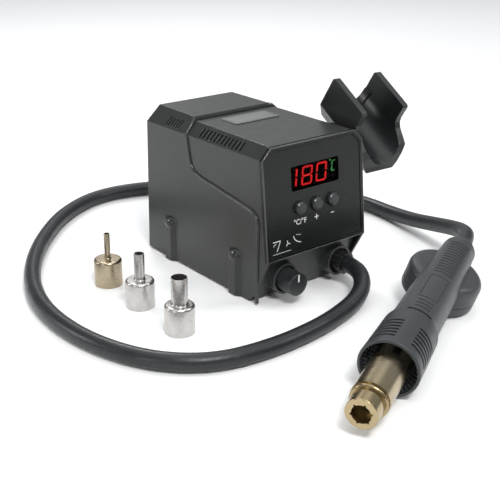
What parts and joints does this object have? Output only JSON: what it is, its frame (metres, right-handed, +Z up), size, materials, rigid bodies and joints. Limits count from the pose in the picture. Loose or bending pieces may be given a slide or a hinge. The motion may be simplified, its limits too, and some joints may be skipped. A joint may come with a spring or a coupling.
{
  "type": "hot air rework station",
  "caption": "Bench hot air station with a corded fan handpiece, side cradle, digital panel, airflow knob and push-on nozzles.",
  "frame": {"origin": "middle of the footprint of the station, handpiece, cradle and nozzles together, on the bench surface", "axes": "+X to the station's right seen from its front, +Y from its front panel to its back, +Z up"},
  "size_m": [0.4057, 0.5044, 0.169],
  "materials": {
    "housing_cover": "fine texture",
    "base_tray": "satin",
    "cover_screws": "zinc plated",
    "rubber_feet": "matte",
    "front_bezel": "semi gloss",
    "panel_overlay": "printed film",
    "display_window": "dark tinted",
    "display_module": "black",
    "display_digits": "lit",
    "front_board": "solder mask",
    "board_screws": "plain",
    "tact_switches": "plain",
    "front_apron": "satin",
    "airflow_knob": "satin",
    "knob_pointer": "paint",
    "pot_shaft": "turned",
    "potentiometer": "plated",
    "hose_gland": "satin",
    "gland_locknut": "satin",
    "rear_panel": "satin",
    "mains_inlet": "satin",
    "inlet_pins": "nickel plated",
    "fuse_drawer": "satin",
    "switch_frame": "satin",
    "rocker_switch": "gloss",
    "power_board": "solder mask",
    "transformer_core": "laminated steel",
    "transformer_winding": "enamelled copper",
    "heatsink": "extruded",
    "capacitors": "sleeved",
    "roof_badge": "satin",
    "cradle": "gloss",
    "cradle_magnet": "nickel",
    "cradle_bracket": "satin",
    "cradle_screws": "zinc plated",
    "umbilical_hose": "glossy sheath",
    "button_unit": "satin",
    "button_plus": "satin",
    "button_minus": "satin",
    "nozzle_small": "heat tinted",
    "nozzle_medium": "polished",
    "nozzle_large": "polished",
    "handle_upper": "fine texture",
    "handle_lower": "fine texture",
    "fan_cover": "fine texture",
    "handle_screws": "black zinc",
    "grip_panel": "matte",
    "vent_collar": "fine texture",
    "barrel_tube": "heat tinted",
    "nozzle_seat": "turned",
    "heater_core": "ceramic",
    "heater_coil": "resistance wire",
    "mica_sleeve": "mica",
    "tube_flange": "stamped",
    "flange_screws": "plain",
    "blower_motor": "zinc can",
    "blower_impeller": "moulded",
    "impeller_shaft": "ground",
    "hose_boot": "satin"
  },
  "bodies": {
    "station": {"housing_cover": "housing_cover", "base_tray": "base_tray", "cover_screws": "cover_screws", "rubber_feet": "rubber_feet", "front_bezel": "front_bezel", "panel_overlay": "panel_overlay", "display_window": "display_window", "display_module": "display_module", "display_digits": "display_digits", "front_board": "front_board", "board_screws": "board_screws", "tact_switches": "tact_switches", "front_apron": "front_apron", "potentiometer": "potentiometer", "hose_gland": "hose_gland", "gland_locknut": "gland_locknut", "rear_panel": "rear_panel", "mains_inlet": "mains_inlet", "inlet_pins": "inlet_pins", "fuse_drawer": "fuse_drawer", "switch_frame": "switch_frame", "power_board": "power_board", "transformer_core": "transformer_core", "transformer_winding": "transformer_winding", "heatsink": "heatsink", "capacitors": "capacitors", "roof_badge": "roof_badge", "cradle": "cradle", "cradle_magnet": "cradle_magnet", "cradle_bracket": "cradle_bracket", "cradle_screws": "cradle_screws", "umbilical_hose": "umbilical_hose"},
    "airflow_dial": {"airflow_knob": "airflow_knob", "knob_pointer": "knob_pointer", "pot_shaft": "pot_shaft"},
    "unit_key": {"button_unit": "button_unit"},
    "plus_key": {"button_plus": "button_plus"},
    "minus_key": {"button_minus": "button_minus"},
    "rocker": {"rocker_switch": "rocker_switch"},
    "handpiece": {"handle_upper": "handle_upper", "handle_lower": "handle_lower", "fan_cover": "fan_cover", "handle_screws": "handle_screws", "grip_panel": "grip_panel", "vent_collar": "vent_collar", "barrel_tube": "barrel_tube", "nozzle_seat": "nozzle_seat", "heater_core": "heater_core", "heater_coil": "heater_coil", "mica_sleeve": "mica_sleeve", "tube_flange": "tube_flange", "flange_screws": "flange_screws", "blower_motor": "blower_motor", "hose_boot": "hose_boot"},
    "impeller": {"blower_impeller": "blower_impeller", "impeller_shaft": "impeller_shaft"},
    "small_nozzle": {"nozzle_small": "nozzle_small"},
    "medium_nozzle": {"nozzle_medium": "nozzle_medium"},
    "large_nozzle": {"nozzle_large": "nozzle_large"}
  },
  "joints": [
    {"name": "airflow_turn", "type": "hinge", "parent": "station", "child": "airflow_dial", "pos_m": [-0.01795, 0.00555, 0.0195], "axis": [0, -1, 0], "range_deg": [-135, 135]},
    {"name": "unit_press", "type": "slide", "parent": "station", "child": "unit_key", "axis": [0, 0.9931, -0.1173], "range_m": [0, 0.001], "stiffness_N_per_m": 300},
    {"name": "plus_press", "type": "slide", "parent": "station", "child": "plus_key", "axis": [0, 0.9931, -0.1173], "range_m": [0, 0.001], "stiffness_N_per_m": 300},
    {"name": "minus_press", "type": "slide", "parent": "station", "child": "minus_key", "axis": [0, 0.9931, -0.1173], "range_m": [0, 0.001], "stiffness_N_per_m": 300},
    {"name": "mains_rock", "type": "hinge", "parent": "station", "child": "rocker", "pos_m": [0.03255, 0.17605, 0.035], "axis": [-1, 0, 0], "range_deg": [0, 20]},
    {"name": "handpiece_lift", "type": "slide", "parent": "station", "child": "handpiece", "axis": [-0.052, -0.0246, 0.9983], "range_m": [0, 0.08]},
    {"name": "impeller_spin", "type": "hinge", "parent": "handpiece", "child": "impeller", "pos_m": [0.07775, -0.07644, 0.0246], "axis": [0.0826, -0.3028, 0.9495], "continuous": true},
    {"name": "small_nozzle_lift", "type": "slide", "parent": "station", "child": "small_nozzle", "axis": [0, 0, 1], "range_m": [0, 0.06]},
    {"name": "medium_nozzle_lift", "type": "slide", "parent": "station", "child": "medium_nozzle", "axis": [0, 0, 1], "range_m": [0, 0.06]},
    {"name": "large_nozzle_lift", "type": "slide", "parent": "station", "child": "large_nozzle", "axis": [0, 0, 1], "range_m": [0, 0.06]}
  ]
}
